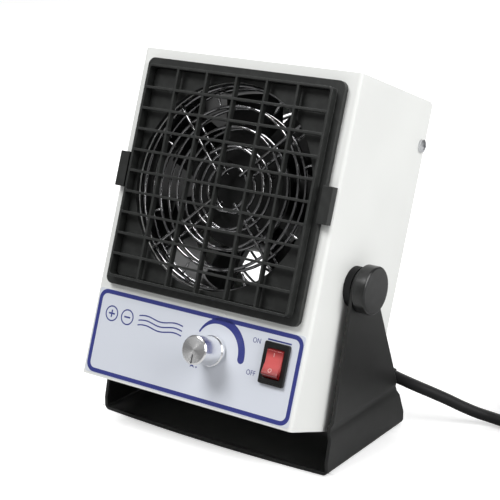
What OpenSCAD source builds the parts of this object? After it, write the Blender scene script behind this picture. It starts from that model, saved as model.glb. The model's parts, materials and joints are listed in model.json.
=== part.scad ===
// Benchtop ionizing blower: a tilting sheet-metal head on a U-shaped stand.
// Frame: X to the right, Y to the back, Z up. The origin is on the table, straight below the tilt axis.
// Everything in the head is drawn upright, from its front face (y = 0) and its bottom (z = 0),
// and in_head() leans it back about the tilt axis.

/* [Housing] */
// Outside width of the head
body_w = 140; // [136:1:170]
// Outside depth of the head
body_d = 82.5; // [78:0.5:110]
// Height of the control panel under the cover
panel_h = 52.5; // [51:0.5:70]
// Height of the front over the cover
top_margin = 5.5; // [4:0.5:30]
// Thickness of the housing's sheet steel
sheet_t = 1.2; // [0.8:0.1:1.6]
// Outside radius of the bends at the front
front_bend_r = 2; // [1.7:0.1:3]
// Outside radius of the bends at the back
rear_bend_r = 3.2; // [2:0.1:5]
// Gap between the two halves of the housing
seam = 0.1; // [0.05:0.05:0.3]
// Height of the upper and the lower cover screws from their nearest edge
cover_screw_edge = 25; // [15:1:40]
// Distance of the cover screws from the back
cover_screw_back = 4.4; // [4:0.2:8]
// Depth of the flange that the cover screws go into
cover_flange = 11; // [9:1:16]

/* [Stand] */
// Backward lean of the head in the rest position
lean = 20; // [0:1:30]
// Height of the tilt axis over the underside of the stand
pivot_height = 95; // [94:1:130]
// Tilt axis behind the front of the head
pivot_back = 34; // [30:1:45]
// Tilt axis over the bottom of the head
pivot_up = 78; // [76:1:90]
// Thickness of the stand's steel strip
stand_t = 2; // [1.5:0.1:2.5]
// Outside radius of the stand's two bends
stand_bend_r = 3; // [2.5:0.5:6]
// Reach of the stand in front of the tilt axis
stand_front = 33; // [25:1:60]
// Reach of the stand behind the tilt axis
stand_back = 48.5; // [40:0.5:80]
// Bow of the base's front edge
base_bow = 3; // [1:0.5:6]
// Height of the upright edges at the foot of each arm
arm_edge_h = 7.5; // [5:0.5:12]
// Radius of the arms' round tops
arm_top_r = 10.5; // [8:0.5:13]
// Height of the cross groove pressed into each arm
groove_z = 24; // [15:1:40]
// Height of the groove's opening
groove_h = 9; // [6:0.5:14]
// Depth of the groove
groove_depth = 1.4; // [0.5:0.1:2]

/* [Clamp] */
// Diameter of the clamp knobs
clamp_d = 26; // [22:1:34]
// Thickness of the clamp knobs
clamp_t = 7.5; // [6:0.5:12]
// Diameter of the clamp studs
stud_d = 6; // [5:0.5:8]
// Thickness of the rubber washers between head and arms
washer_t = 4.3; // [3:0.1:6]
// Diameter of the rubber washers
washer_d = 22; // [18:1:26]
// Width across the flats of the weld nuts
nut_af = 10; // [10:0.5:13]
// Thickness of the weld nuts
nut_t = 5; // [4:0.5:6]
// Radial clearance of shafts in their holes
running = 0.05; // [0.02:0.01:0.08]
// Gap between faces that slide on each other
face_gap = 0.05; // [0.02:0.01:0.1]

/* [Grille] */
// Width of the cover's flange round its field of bars
rim_w = 5.5; // [4:0.5:7]
// Thickness of the flange
flange_t = 3.3; // [2.5:0.1:4.5]
// Corner radius of the flange
flange_r = 4; // [2:0.5:8]
// Distance of the field's edge from the rows of fan screws
field_margin = 5.5; // [5:0.1:6.5]
// Wall round the field
field_wall = 1.3; // [1:0.1:2]
// Height of the field over the flange
field_rise = 5; // [3:0.5:8]
// Number of cells side by side
grille_columns = 6; // [4:1:10]
// Number of cells one over another
grille_rows = 10; // [6:1:14]
// Thickness of the bars
bar_t = 1.3; // [1:0.1:2]
// Depth of the bars
bar_depth = 3.6; // [2:0.2:4.4]
// Height of the two finger clips
clip_h = 19.5; // [12:0.5:30]
// Reach of the clips past the flange
clip_reach = 5.5; // [4:0.5:6]
// Thickness of the guard base behind the cover
base_plate_t = 2.8; // [2:0.1:3]

/* [Fan] */
// Distance of the fan frame's edge from its mounting holes
fan_ear = 7; // [6:0.5:7.5]
// Depth of the fan frame
fan_depth = 38; // [25:1:40]
// Distance between the fan's mounting holes
fan_pitch = 105; // [104:0.5:106]
// Thickness of the fan frame's ring outside its ears
fan_ring = 2; // [1.5:0.1:2.5]
// Diameter of the hub
hub_d = 62; // [50:1:68]
// Number of blades
blades = 7; // [5:1:9]
// Gap between blade tips and bore
tip_gap = 1.2; // [0.8:0.1:2]
// Diameter of the fan's shaft
shaft_d = 5; // [3:0.5:6]
// Diameter of the fan screws
fan_screw_d = 4; // [3:0.5:4.5]
// Depth of the emitter ring
emitter_depth = 9; // [7:0.5:12]
// Number of emitter needles
needles = 8; // [4:2:12]
// Length of the bare needles
needle_l = 11; // [8:0.5:14]
// Diameter of the needles
needle_d = 1.5; // [1:0.1:2]
// Diameter of the guards' wire
wire_d = 1.8; // [1.4:0.1:2.2]
// Radii of the wire guards' rings
guard_radii = [55, 44, 33, 22.5, 12.5];

/* [Control panel] */
// Gap between the panel label and the cover
label_gap = 4; // [3:0.5:6]
// Thickness of the panel label
label_t = 0.3; // [0.2:0.05:0.5]
// Speed knob's place to the right of the middle
speed_x = 14; // [5:0.5:22]
// Speed knob's height over the bottom of the head
speed_z = 30; // [26:0.5:34]
// Diameter of the speed knob
speed_d = 16.5; // [15:0.5:19]
// Length of the speed knob
speed_l = 17.4; // [14:0.2:20]
// Diameter of the potentiometer's shaft
pot_shaft_d = 6; // [5:0.5:6.4]
// Switch's distance from the right side of the head
switch_edge = 16.8; // [15:0.2:26]
// Switch's height over the bottom of the head
switch_z = 31.6; // [26:0.2:33]
// Width of the switch's bezel
bezel_w = 15.2; // [14.4:0.2:18]
// Height of the switch's bezel
bezel_h = 22; // [21:0.5:26]
// Thickness of the switch's bezel
bezel_t = 1.8; // [1.2:0.1:2.4]
// Width of the rocker
rocker_w = 9.6; // [8:0.2:10]
// Radius of the rocker's round ends about its pin
rocker_r = 7.6; // [6.6:0.1:7.8]
// Half of the rocker's travel, in degrees
rocker_tip = 10; // [6:1:12]

/* [Inside] */
// Size of the speed board
board_size = [58, 1.6, 40];
// Size of the transformer block
module_size = [66, 36, 40];
// Size of the terminal block
terminal_size = [34, 16, 14];
// Gap between the blocks on the floor of the head
block_gap = 10; // [5:1:14]

/* [Mains lead] */
// Diameter of the lead
cord_d = 6.5; // [6:0.1:8]
// Lead's exit from the right side of the head
exit_edge = 14; // [12:1:20]
// Lead's exit over the bottom of the head
exit_z = 34; // [30:1:40]
// Diameter of the boot where it leaves the head
boot_d = 10.5; // [9:0.5:12]
// Diameter of the boot's flange
boot_flange_d = 15; // [14:0.5:18]

/* [Hidden] */
eps = 0.01;
$fn = 48;

fan_w = fan_pitch + 2*fan_ear;
fan_bore = fan_w - 5;
duct_d = fan_bore - 2;
field_w = fan_pitch + 2*field_margin;
grille_w = field_w + 2*rim_w;
grille_z = panel_h + grille_w/2;
body_h = panel_h + grille_w + top_margin;
label_w = body_w - 2*front_bend_r;
label_h = panel_h - label_gap - front_bend_r/2;
pivot_z = pivot_height;
side_in = body_w/2 - sheet_t;
arm_in = body_w/2 + washer_t + 2*face_gap;
arm_out = arm_in + stand_t;
stud_bore = stud_d + 2*running;
clamp_out = arm_out + face_gap + clamp_t;
stud_end = side_in - nut_t - 1.5;

// Depths inside the head, from the front panel backwards
guard_y = sheet_t + wire_d/2;
emitter_y = sheet_t + wire_d;
inner_guard_y = emitter_y + emitter_depth + wire_d/2;
fan_y = inner_guard_y + wire_d/2;
rear_guard_y = body_d + wire_d/2;
fan_back = fan_y + fan_depth;
fan_wall = 4.5;
back_in = body_d - sheet_t;
motor_plate = 5;
motor_y = fan_back - motor_plate;
blade_y = fan_y + 4;
blade_depth = 25;
hub_wall = 2;
hub_in = hub_d - 2*hub_wall;
bearing_d = 11;
bearing_t = 4;
motor_tube_d = bearing_d + 5;
bearing_front = motor_y - 20;
bearing_back = motor_y - 1.5;
needle_y = emitter_y + emitter_depth/2;

// Cover of the air opening
field_y = flange_t + field_rise;
tongue_t = 1.2;
tongue_reach = clip_reach - 1.8;

// Control panel
switch_x = body_w/2 - switch_edge;
pot_bush_d = 7;
pot_hole_d = pot_bush_d + 0.2;
panel_y = sheet_t;
switch_hole = [bezel_w - 2, bezel_h - 2.6];
switch_depth = 16;
rocker_face = 3.2;
window_r = rocker_r + 0.2;
window_w = rocker_w + 0.3;

// Speed board behind the panel, and the blocks on the floor
board_y = 8;
board_at = [speed_x - 10 - board_size[0] - 8, 8];
board_holes = [[for (i = [0, 1]) board_at[0] + 3 + i*(board_size[0] - 6)],
               [for (i = [0, 1]) board_at[1] + 3 + i*(board_size[2] - 6)]];
blocks_y = back_in - 14;
module_x = -body_w/2 + 10;
terminal_x = module_x + module_size[0] + block_gap;

// Mains lead: the boot leaves the back panel and turns to the right inside the stand's arm,
// and the lead goes on from there down to the table and to the coil
exit_x = body_w/2 - exit_edge;
boot_route = [[56, 30.5, 37], [56, 34.3, 35.7], [57, 38.5, 34.1], [59.4, 42.1, 32.4], [62.8, 44.7, 30.8],
              [66.6, 46.1, 29.6], [70, 46.5, 28.7], [74, 46.8, 27.6]];
cord_cut_x = 72;
cord_route = [[70, 46.5, 28.7], [74, 46.8, 27.6], [80, 48, 25.8], [86, 50.8, 23.2], [92, 55, 19.9], [98, 60, 16],
              [104, 65.2, 11.7], [111, 70.5, 7.6], [118, 74.5, 5], [126, 75.5, 3.7], [136, 72.5, 3.3],
              [146, 68.6, 3.25], [156, 64.6, 3.25], [166, 62, 3.25], [174, 61.5, 3.25]];
coil_at = [174, 104];
coil_in = 26;
coil_out = 46.2;
coil_h = 20.6;
plug_size = [25, 38, 22];
plug_route = [[153, 67, 17], [163, 62.6, 18], [174, 61.6, 20], [184, 64, 23.4], [192, 69, 27.3],
              [197, 76, 30.8], [198, 84, 31.6]];
plug_at = [198, 84, coil_h + plug_size[2]/2];

// ---------- helpers ----------

// Places what is drawn upright in the head's own axes
module in_head() {
    translate([0, 0, pivot_z]) rotate([-lean, 0, 0]) translate([0, -pivot_back, -pivot_up]) children();
}

// Copies to the left and to the right
module both_sides() {
    children();
    mirror([1, 0, 0]) children();
}

// Flat rectangle about the origin with round corners
module round_rect(w, h, r) {
    square([w - 2*r, h], center = true);
    square([w, h - 2*r], center = true);
    for (x = [-1, 1], z = [-1, 1]) translate([x*(w/2 - r), z*(h/2 - r)]) circle(r);
}

// Plate in the XZ plane with its front face at y and its middle at (x, z)
module plate(x, z, y, t) {
    translate([x, y + t, z]) rotate([90, 0, 0]) linear_extrude(t) children();
}

// Rod along Y from y to y + l at (x, z)
module rod(x, z, y, l, d) {
    translate([x, y, z]) rotate([-90, 0, 0]) cylinder(h = l, d = d);
}

// The four corners of the fan's hole pattern, about the grille's centre
module at_fan_holes() {
    for (x = [-1, 1], z = [-1, 1]) translate([x*fan_pitch/2, 0, grille_z + z*fan_pitch/2]) children();
}

// Pan-head screw along -Z from its seat at the origin, head upwards, with a cross recess
module pan_screw(d, l, head_d, head_t) {
    difference() {
        union() {
            translate([0, 0, -l]) cylinder(h = l + eps, d = d);
            intersection() {
                cylinder(h = head_t, d = head_d);
                translate([0, 0, head_t - head_d]) sphere(head_d);
            }
        }
        for (a = [0, 90]) rotate(a) translate([-head_d*0.29, -head_d*0.06, head_t*0.45])
            cube([head_d*0.58, head_d*0.12, head_t]);
    }
}

// Hollow hexagon nut along Z, with its mid-height at the origin
module hex_nut(af, t, bore) {
    difference() {
        cylinder(h = t, d = af/cos(30), center = true, $fn = 6);
        cylinder(h = t + 1, d = bore, center = true);
    }
}

function unit(v) = v/norm(v);

// Direction of a route at its point i
function along(route, i) =
    unit(route[min(i + 1, len(route) - 1)] - route[max(i - 1, 0)]);

// Ring of points of one radius round a route's point, square to the route
function ring(p, dir, r, sides) =
    let (side = unit(cross(dir, [0, 0, 1])), up = cross(side, dir))
    [for (k = [0:sides - 1]) p + r*(cos(360*k/sides)*side + sin(360*k/sides)*up)];

// Tube swept along a route, its radius going from r0 to r1
module swept_tube(route, r0, r1, sides = 12) {
    n = len(route);
    points = [for (i = [0:n - 1]) each ring(route[i], along(route, i), r0 + (r1 - r0)*i/(n - 1), sides)];
    walls = [for (i = [0:n - 2], k = [0:sides - 1])
        let (a = i*sides + k, b = i*sides + (k + 1) % sides)
        each [[a, b, b + sides], [a, b + sides, a + sides]]];
    ends = [[for (k = [sides - 1:-1:0]) k], [for (k = [0:sides - 1]) (n - 1)*sides + k]];
    polyhedron(points = points, faces = concat(walls, ends), convexity = 4);
}

// ---------- stand ----------

// Points along an arc of radius r about c, from angle a to angle b
function arc(c, r, a, b, steps = 12) =
    [for (i = [0:steps]) let (t = a + (b - a)*i/steps) c + r*[cos(t), sin(t)]];

// Angle at which the line from point p touches a circle of radius r about c, on the side given by s
function touch(p, c, r, s) = atan2(p[1] - c[1], p[0] - c[0]) + s*acos(r/norm(p - c));

function mirrored(points) = [for (i = [len(points) - 1:-1:0]) [-points[i][0], points[i][1]]];

// Outline of an arm seen from the side, Y across and Z up, with the base in front of its foot
module arm_outline() {
    top = [0, pivot_height];
    front = [-stand_front, arm_edge_h];
    back = [stand_back, arm_edge_h];
    reach = -stand_front - base_bow - 1;
    polygon(concat(
        [[reach, -1], [reach, stand_t], [-stand_front, stand_t], front],
        arc(top, arm_top_r, touch(front, top, arm_top_r, -1) + 360, touch(back, top, arm_top_r, 1), 24),
        [back, [stand_back, -1]]));
}

// Up one face of the right arm at x, over the pressed groove
function arm_face(x) = let (low = groove_z - groove_h/2, high = groove_z + groove_h/2, slope = groove_h/3) [
    [x, low], [x - groove_depth, low + slope], [x - groove_depth, high - slope], [x, high],
    [x, pivot_height + arm_top_r + 1]];

// The strip's section seen from the front
module strip_section() {
    bend = [arm_out - stand_bend_r, stand_bend_r];
    inner = arm_face(arm_in);
    right = concat(
        arc(bend, stand_bend_r, -90, 0), arm_face(arm_out),
        [for (i = [len(inner) - 1:-1:0]) inner[i]], arc(bend, stand_bend_r - stand_t, 0, -90));
    polygon(concat(right, mirrored(right)));
}

// Plan of the base with its bowed front edge
module base_plan() {
    bow_r = (pow(arm_out, 2) + pow(base_bow, 2))/(2*base_bow);
    half = asin(arm_out/bow_r);
    polygon(concat(
        arc([0, bow_r - stand_front - base_bow], bow_r, -90 - half, -90 + half, 24),
        [[arm_out, stand_back + 1], [-arm_out, stand_back + 1]]));
}

module stand_bracket() {
    color([0.13, 0.13, 0.13]) difference() {
        intersection() {
            translate([0, stand_back + 1, 0]) rotate([90, 0, 0])
                linear_extrude(stand_front + stand_back + base_bow + 2) strip_section();
            rotate([90, 0, 90]) translate([0, 0, -arm_out - 1]) linear_extrude(2*arm_out + 2) arm_outline();
            translate([0, 0, -1]) linear_extrude(pivot_height + arm_top_r + 2) base_plan();
        }
        translate([-arm_out - 1, 0, pivot_height]) rotate([0, 90, 0]) cylinder(h = 2*arm_out + 2, d = stud_bore);
    }
}

// ---------- housing ----------

// Side of the head seen from the right, with the bends' radii at its four corners
module side_outline() {
    difference() {
        square([body_d, body_h]);
        for (z = [0, 1]) translate([0, z*body_h]) mirror([0, z]) {
            translate([body_d - rear_bend_r, 0]) difference() {
                translate([0, -1]) square(rear_bend_r + 1);
                translate([0, rear_bend_r]) circle(rear_bend_r);
            }
        }
    }
}

// Section of the front half seen from above: front panel and two sides
module front_section(inset) {
    r = front_bend_r - inset;
    w = body_w - 2*inset;
    translate([-w/2, inset + r]) square([w, body_d + 1 - r]);
    translate([-w/2 + r, inset]) square([w - 2*r, r + eps]);
    for (x = [-1, 1]) translate([x*(w/2 - r), inset + r]) circle(r);
}

module side_screw_holes(d) {
    for (z = [cover_screw_edge, body_h - cover_screw_edge])
        translate([-body_w/2 - 1, body_d - cover_screw_back, z]) rotate([0, 90, 0]) cylinder(h = body_w + 2, d = d);
}

module front_housing() {
    color([0.92, 0.92, 0.91]) in_head() difference() {
        intersection() {
            difference() {
                linear_extrude(body_h) front_section(0);
                translate([0, 0, -1]) linear_extrude(body_h + 2) front_section(sheet_t);
            }
            translate([-body_w/2 - 1, 0, 0]) rotate([90, 0, 90]) linear_extrude(body_w + 2) side_outline();
        }
        rod(0, grille_z, -1, sheet_t + 2, duct_d);
        at_fan_holes() rod(0, 0, -1, sheet_t + 2, fan_screw_d + 0.3);
        rod(speed_x, speed_z, -1, sheet_t + 2, pot_hole_d);
        plate(switch_x, switch_z, -1, sheet_t + 2) square(switch_hole, center = true);
        translate([-body_w/2 - 1, pivot_back, pivot_up]) rotate([0, 90, 0]) cylinder(h = body_w + 2, d = stud_bore);
        side_screw_holes(3.8);
    }
}

// Section of the rear half seen from the side: top, back and bottom
module rear_section(inset) {
    r = rear_bend_r - inset;
    d = body_d - inset;
    h = body_h - 2*inset;
    translate([sheet_t + seam - inset, inset]) square([d - r - sheet_t - seam + inset, h]);
    translate([d - r - eps, inset + r]) square([r + eps, h - 2*r]);
    for (z = [inset + r, inset + h - r]) translate([d - r, z]) circle(r);
}

module rear_housing() {
    w = 2*(side_in - seam);
    flange_h = body_h - 2*rear_bend_r - 8;
    color([0.9, 0.9, 0.89]) in_head() difference() {
        union() {
            translate([-w/2, 0, 0]) rotate([90, 0, 90]) linear_extrude(w) difference() {
                rear_section(0);
                rear_section(sheet_t);
            }
            both_sides() translate([w/2 - sheet_t, back_in - cover_flange + eps, (body_h - flange_h)/2])
                cube([sheet_t, cover_flange, flange_h]);
        }
        rod(0, grille_z, back_in - 1, sheet_t + 2, duct_d);
        at_fan_holes() rod(0, 0, back_in - 1, sheet_t + 2, fan_screw_d + 0.3);
        rod(exit_x, exit_z, back_in - 1, sheet_t + 2, boot_d + 0.2);
        side_screw_holes(3);
    }
}

module cover_screws() {
    color([0.75, 0.76, 0.78]) in_head() both_sides()
        for (z = [cover_screw_edge, body_h - cover_screw_edge])
            translate([body_w/2, body_d - cover_screw_back, z]) rotate([0, 90, 0]) pan_screw(2.9, 6, 7, 2.3);
}

module panel_label() {
    color([0.8, 0.82, 0.87]) in_head() difference() {
        plate(0, label_h/2 + 0.75*front_bend_r, -label_t, label_t) round_rect(label_w, label_h, 1.5);
        rod(speed_x, speed_z, -1, 2, pot_hole_d);
        plate(switch_x, switch_z, -1, 2) square(switch_hole, center = true);
    }
}

// ---------- front guard ----------

// Square ring on the panel, with a tongue on each side that a clip of the cover snaps over
module guard_base() {
    size = field_w - 0.4;
    color([0.25, 0.26, 0.26]) in_head() difference() {
        union() {
            plate(0, grille_z, -base_plate_t, base_plate_t) round_rect(size, size, 3);
            plate(0, grille_z, -tongue_t, tongue_t) square([grille_w + 2*tongue_reach, clip_h - 4], center = true);
        }
        rod(0, grille_z, -base_plate_t - 1, base_plate_t + 2, duct_d);
        at_fan_holes() rod(0, 0, -base_plate_t + 0.8, base_plate_t, fan_screw_d + 2*running);
    }
}

// Bars of the clip-on cover
module lattice() {
    column = field_w/grille_columns;
    row = field_w/grille_rows;
    for (i = [1:grille_columns - 1])
        plate(-field_w/2 + i*column, grille_z, -field_y, bar_depth) square([bar_t, field_w + 1], center = true);
    for (i = [1:grille_rows - 1])
        plate(0, grille_z - field_w/2 + i*row, -field_y, bar_depth) square([field_w + 1, bar_t], center = true);
}

// Finger clip on the right of the cover, hollow behind for the base's tongue
module clip() {
    lip = 1;
    front = flange_t + 1.6;
    difference() {
        translate([grille_w/2 - 0.6, -front, grille_z - clip_h/2]) cube([clip_reach + 0.6, front - 0.3, clip_h]);
        translate([grille_w/2 - 1, -tongue_t - 0.3, grille_z - clip_h/2 + 1.5])
            cube([clip_reach + 1 - lip - 0.3, tongue_t + 1, clip_h - 3]);
    }
}

module grille_cover() {
    outer = field_w + 2*field_wall;
    color([0.2, 0.21, 0.21]) in_head() {
        difference() {
            union() {
                plate(0, grille_z, -flange_t, flange_t - 0.05) round_rect(grille_w, grille_w, flange_r);
                plate(0, grille_z, -field_y, field_rise + 0.1) round_rect(outer, outer, 2.5);
            }
            plate(0, grille_z, -field_y - 1, field_y + 2) round_rect(field_w, field_w, 1.5);
            plate(0, grille_z, -tongue_t - 0.3, 3) square([grille_w + 1, clip_h - 3], center = true);
        }
        lattice();
        both_sides() clip();
    }
}

// Finger guard of welded wire: four legs that end in screw eyes lie at y, and carry the rings on one side
module wire_guard(y, side) {
    eye_r = norm([fan_pitch, fan_pitch])/2;
    inner_r = guard_radii[len(guard_radii) - 1];
    translate([0, y, grille_z]) rotate([-90, 0, 0]) {
        for (r = guard_radii) translate([0, 0, side*wire_d*0.85])
            rotate_extrude($fn = 72) translate([r, 0]) circle(d = wire_d, $fn = 16);
        for (a = [45:90:315]) rotate(a) {
            translate([inner_r - 2, 0, 0]) rotate([0, 90, 0]) cylinder(h = eye_r - inner_r - 1, d = wire_d, $fn = 16);
            translate([eye_r, 0, 0]) rotate_extrude($fn = 32)
                translate([fan_screw_d/2 + 0.2 + wire_d/2, 0]) circle(d = wire_d, $fn = 16);
        }
    }
}

module front_wire_guard() {
    color([0.8, 0.81, 0.83]) in_head() wire_guard(guard_y, 1);
}

module inner_wire_guard() {
    color([0.8, 0.81, 0.83]) in_head() wire_guard(inner_guard_y, -1);
}

module rear_wire_guard() {
    color([0.8, 0.81, 0.83]) in_head() wire_guard(rear_guard_y, 1);
}

module rear_guard_screws() {
    color([0.75, 0.76, 0.78]) in_head() at_fan_holes()
        translate([0, body_d + wire_d, 0]) rotate([-90, 0, 0]) pan_screw(fan_screw_d, wire_d + 8, 8.6, 2.6);
}

module rear_guard_nuts() {
    color([0.75, 0.76, 0.78]) in_head() at_fan_holes()
        translate([0, back_in - 1.5, 0]) rotate([90, 0, 0]) hex_nut(7, 3, fan_screw_d + 2*running);
}

// ---------- emitter ----------

module emitter_ring() {
    color([0.15, 0.15, 0.15]) in_head() difference() {
        plate(0, grille_z, emitter_y, emitter_depth) round_rect(fan_w, fan_w, 5);
        rod(0, grille_z, emitter_y - 1, emitter_depth + 2, duct_d + 1);
        at_fan_holes() rod(0, 0, emitter_y - 1, emitter_depth + 2, fan_screw_d + 2.6);
        for (a = [0:needles - 1]) translate([0, needle_y, grille_z]) rotate([0, 360*(a + 0.5)/needles, 0])
            translate([0, 0, duct_d/2 - 1]) cylinder(h = 4.6, d = needle_d + 2*running);
    }
}

// Pointed needles that reach from the ring into the air stream
module emitter_needles() {
    color([0.72, 0.73, 0.75]) in_head() for (a = [0:needles - 1])
        translate([0, needle_y, grille_z]) rotate([0, 360*(a + 0.5)/needles, 0]) {
            translate([0, 0, duct_d/2 + 3.4 - needle_l]) cylinder(h = needle_l, d = needle_d, $fn = 24);
            translate([0, 0, duct_d/2 + 3.4 - needle_l - 3]) cylinder(h = 3, d1 = 0.2, d2 = needle_d, $fn = 24);
        }
}

// ---------- fan ----------

module fan_frame() {
    color([0.1, 0.1, 0.1]) in_head() difference() {
        union() {
            for (y = [fan_y, fan_back - fan_wall]) plate(0, grille_z, y, fan_wall) round_rect(fan_w, fan_w, 6);
            rod(0, grille_z, fan_y, fan_depth, fan_bore + 2*fan_ring);
        }
        difference() {
            rod(0, grille_z, fan_y - 1, fan_depth + 2, fan_bore);
            rod(0, grille_z, motor_y, motor_plate, hub_d);
            for (a = [0:3]) translate([0, motor_y, grille_z]) rotate([0, 90*a + 20, 0])
                translate([-2, 0, 0]) cube([4, motor_plate, fan_bore/2 + 1]);
        }
        at_fan_holes() rod(0, 0, fan_y - 1, fan_depth + 2, fan_screw_d + 0.3);
        rod(0, grille_z, motor_y - 1, bearing_back + bearing_t - motor_y + 1, motor_tube_d + 2*running);
    }
}

// Wound stator on the frame's hub, with the tube that holds both bearings
module fan_motor() {
    color([0.55, 0.35, 0.2]) in_head() difference() {
        union() {
            rod(0, grille_z, motor_y - 16, 14, hub_in - 8);
            rod(0, grille_z, bearing_front, bearing_back + bearing_t - bearing_front, motor_tube_d);
        }
        rod(0, grille_z, bearing_front - 1, motor_y + motor_plate - bearing_front, shaft_d + 1);
        rod(0, grille_z, bearing_front - 1, bearing_t + 1, bearing_d);
        rod(0, grille_z, bearing_back, bearing_t + 1, bearing_d);
    }
}

module fan_bearings() {
    color([0.75, 0.76, 0.78]) in_head() for (y = [bearing_front, bearing_back]) difference() {
        rod(0, grille_z, y, bearing_t, bearing_d);
        rod(0, grille_z, y - 1, bearing_t + 2, shaft_d + 2*running);
    }
}

module fan_shaft() {
    start = blade_y + hub_wall;
    end = bearing_back + bearing_t - 0.5;
    color([0.8, 0.81, 0.83]) in_head() rod(0, grille_z, start, end - start, shaft_d);
}

// One blade from the hub to its tip, twisted towards the tip
module blade() {
    span = fan_bore/2 - tip_gap - hub_d/2 + 1.5;
    rotate([0, 90, 0]) linear_extrude(height = span, twist = 16, slices = 4)
        rotate(38) scale([0.1, 1]) circle(d = blade_depth*1.25, $fn = 12);
}

module fan_impeller() {
    color([0.09, 0.09, 0.09]) in_head() {
        difference() {
            rod(0, grille_z, blade_y, blade_depth, hub_d);
            rod(0, grille_z, blade_y + hub_wall, blade_depth, hub_in);
        }
        difference() {
            rod(0, grille_z, blade_y + hub_wall - eps, 5, shaft_d + 6);
            rod(0, grille_z, blade_y + hub_wall, 6, shaft_d);
        }
        intersection() {
            translate([0, blade_y + blade_depth/2, grille_z]) rotate([-90, 0, 0])
                for (i = [0:blades - 1]) rotate(360*i/blades) translate([hub_d/2 - 1.5, 0, 0]) blade();
            difference() {
                rod(0, grille_z, blade_y, blade_depth, fan_bore - 2*tip_gap);
                rod(0, grille_z, blade_y - 1, blade_depth + 2, hub_d - 1);
            }
        }
    }
}

module fan_screws() {
    length = fan_y + fan_wall + base_plate_t - 1.2;
    color([0.7, 0.71, 0.73]) in_head() at_fan_holes()
        translate([0, fan_y + fan_wall, 0]) rotate([-90, 0, 0]) pan_screw(fan_screw_d, length, 7.5, 2.4);
}

// Tubes round the fan screws that hold the emitter ring and both guards apart
module fan_spacers() {
    color([0.8, 0.8, 0.78]) in_head() at_fan_holes() difference() {
        rod(0, 0, emitter_y, emitter_depth, fan_screw_d + 2.4);
        rod(0, 0, emitter_y - 1, emitter_depth + 2, fan_screw_d + 0.3);
    }
}

// ---------- control panel ----------

module speed_pot() {
    color([0.3, 0.45, 0.4]) in_head() difference() {
        union() {
            rod(speed_x, speed_z, panel_y, 9, 16);
            rod(speed_x, speed_z, -label_t - 5, label_t + 6 + panel_y, pot_bush_d);
            translate([speed_x - 7, panel_y + 2, speed_z - 15]) cube([14, 1.6, 9]);
        }
        rod(speed_x, speed_z, -label_t - 6, label_t + 12, pot_shaft_d - 1 + 2*running);
    }
}

module pot_nut() {
    color([0.75, 0.76, 0.78]) in_head()
        translate([speed_x, -label_t - 1, speed_z]) rotate([90, 0, 0]) hex_nut(10, 2, pot_bush_d + 2*running);
}

// Stepped shaft, thick in front where the knob sits
module pot_shaft() {
    color([0.78, 0.79, 0.8]) in_head() {
        difference() {
            rod(speed_x, speed_z, -label_t - 15, 9.6, pot_shaft_d);
            translate([speed_x - 3, -label_t - 15.5, speed_z + 1.5]) cube([6, 9, 3]);
        }
        rod(speed_x, speed_z, -label_t - 5.5, 5.5 + label_t + 4, pot_shaft_d - 1);
    }
}

// Turned aluminium knob: a slightly wider skirt, a grip and a chamfered face, hollow over the nut
module speed_knob() {
    r = speed_d/2;
    back = -label_t - 0.6;
    color([0.82, 0.83, 0.85]) in_head() translate([speed_x, back, speed_z]) rotate([90, 0, 0]) difference() {
        rotate_extrude($fn = 72) polygon([[0, 0], [r, 0], [r, 2.2], [r - 0.5, 2.8], [r - 0.5, speed_l - 0.7],
                                          [r - 1.2, speed_l], [0, speed_l]]);
        translate([0, 0, -1]) cylinder(h = 5.6, d = 12.6);
        translate([0, 0, 4]) cylinder(h = 10.8, d = pot_shaft_d);
        translate([-0.3, -r, speed_l - 0.4]) cube([0.6, r - 2, 1]);
    }
}

// Rocker's pin is level with the housing's front face
module in_switch() {
    translate([switch_x, 0, switch_z]) children();
}

module switch_housing() {
    body = [switch_hole[0] - 0.3, switch_hole[1] - 0.3];
    color([0.08, 0.08, 0.08]) in_head() in_switch() difference() {
        union() {
            plate(0, 0, -label_t - bezel_t, bezel_t) round_rect(bezel_w, bezel_h, 1);
            plate(0, 0, -label_t - eps, switch_depth) square(body, center = true);
            for (x = [-4, 0, 4]) translate([x - 0.4, switch_depth - 1, -2.4]) cube([0.8, 8, 4.8]);
        }
        translate([-window_w/2, -label_t - bezel_t - 1, -window_r]) cube([window_w, label_t + bezel_t + 10, 2*window_r]);
        rotate([0, 90, 0]) cylinder(h = rocker_w + 2.4, d = 2 + 2*running, center = true);
    }
}

// Rocker whose upper half is pressed in, with round ends about its pin
module switch_rocker() {
    end = rocker_face + rocker_r*tan(rocker_tip);
    color([0.8, 0.1, 0.1]) in_head() in_switch() rotate([-rocker_tip, 0, 0]) {
        intersection() {
            rotate([0, 90, 0]) cylinder(h = rocker_w, r = rocker_r, center = true);
            rotate([90, 0, 90]) linear_extrude(rocker_w + 1, center = true)
                polygon([[2.5, -rocker_r], [-end, -rocker_r], [-rocker_face, 0], [-end, rocker_r], [2.5, rocker_r]]);
        }
        rotate([0, 90, 0]) cylinder(h = rocker_w + 2, d = 2, center = true);
    }
}

// ---------- inside the head ----------

module speed_board() {
    width = board_size[0];
    back = board_size[1];
    color([0.1, 0.35, 0.2]) in_head() translate([board_at[0], board_y, board_at[1]]) difference() {
        union() {
            cube(board_size);
            translate([0.1*width, back - eps, 8]) cube([10, 12, 10]);
            translate([0.4*width, back - eps, 6]) cube([14, 9, 14]);
            for (x = [0.75, 0.87]) translate([x*width, back - eps, 15]) rotate([-90, 0, 0]) cylinder(h = 10, d = 6);
            translate([0.14*width, back - eps, board_size[2] - 14]) cube([0.7*width, 2.4, 8]);
        }
        for (x = [3, width - 3], z = [3, board_size[2] - 3])
            translate([x, -1, z]) rotate([-90, 0, 0]) cylinder(h = back + 2, d = 3);
    }
}

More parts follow.
